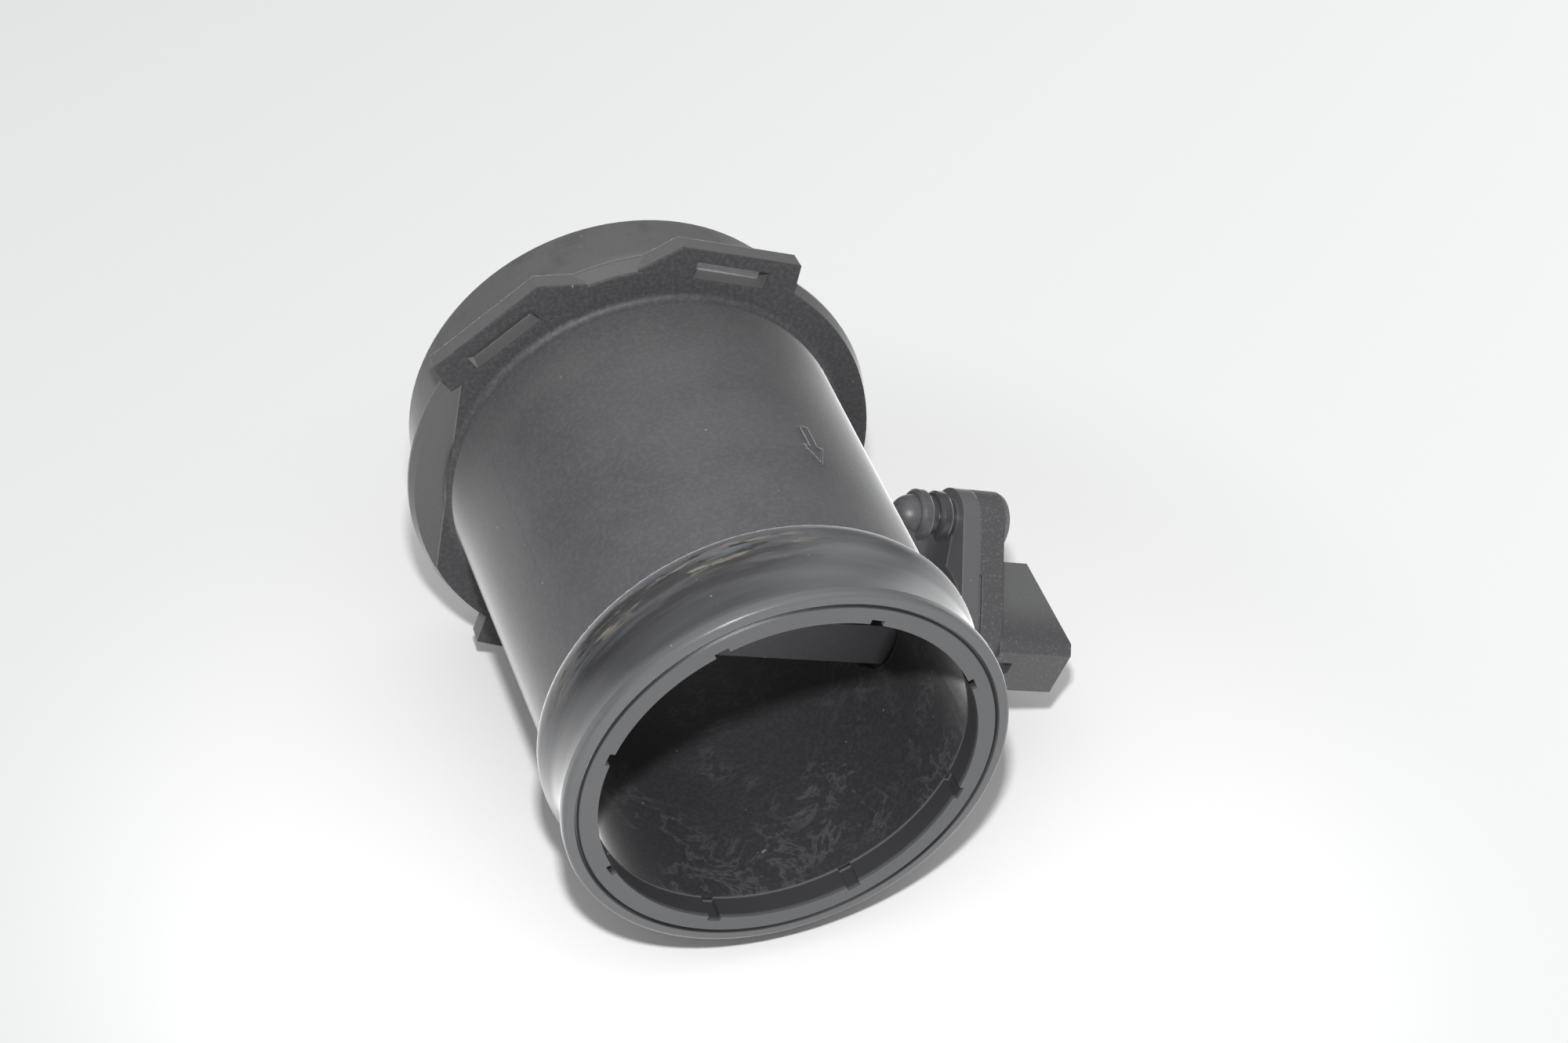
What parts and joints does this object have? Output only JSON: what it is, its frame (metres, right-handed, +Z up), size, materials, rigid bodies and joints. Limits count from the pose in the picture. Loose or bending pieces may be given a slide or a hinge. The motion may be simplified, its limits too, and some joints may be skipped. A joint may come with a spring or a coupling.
{
  "type": "mass airflow sensor",
  "caption": "Tubular black plastic air duct with a hose bead, clip-eared inlet plate and a plug-in hot-film sensor whose finger reaches into the bore, with a side connector.",
  "frame": {"origin": "centre of the hose outlet's end face, on the tube axis", "axes": "+Y along the tube axis from the outlet to the inlet, +Z up as the object lies, the sensor on the +X side"},
  "size_m": [0.1421, 0.1354, 0.1196],
  "materials": {
    "housing_plastic": "satin",
    "ring_plastic": "satin",
    "sensor_plastic": "satin",
    "cover_plastic": "satin",
    "seal_rubber": "matte",
    "carrier_metal": "satin",
    "board_ceramic": "matte",
    "carrier_plastic": "matte",
    "chip_silicon": "gloss",
    "bead_glass": "gloss",
    "pin_tin": "satin",
    "screw_steel": "satin"
  },
  "bodies": {
    "root": {"housing": "housing_plastic", "outlet_ring": "ring_plastic", "sensor_body": "sensor_plastic", "seal_ring": "seal_rubber", "electronics_cover": "cover_plastic", "duct_cover": "cover_plastic", "base_plate": "carrier_metal", "circuit_board": "board_ceramic", "chip_carrier": "carrier_plastic", "sensor_chip": "chip_silicon", "temperature_bead": "bead_glass", "pin_1": "pin_tin", "pin_2": "pin_tin", "pin_3": "pin_tin", "pin_4": "pin_tin", "pin_5": "pin_tin", "flange_screws": "screw_steel"}
  },
  "joints": []
}
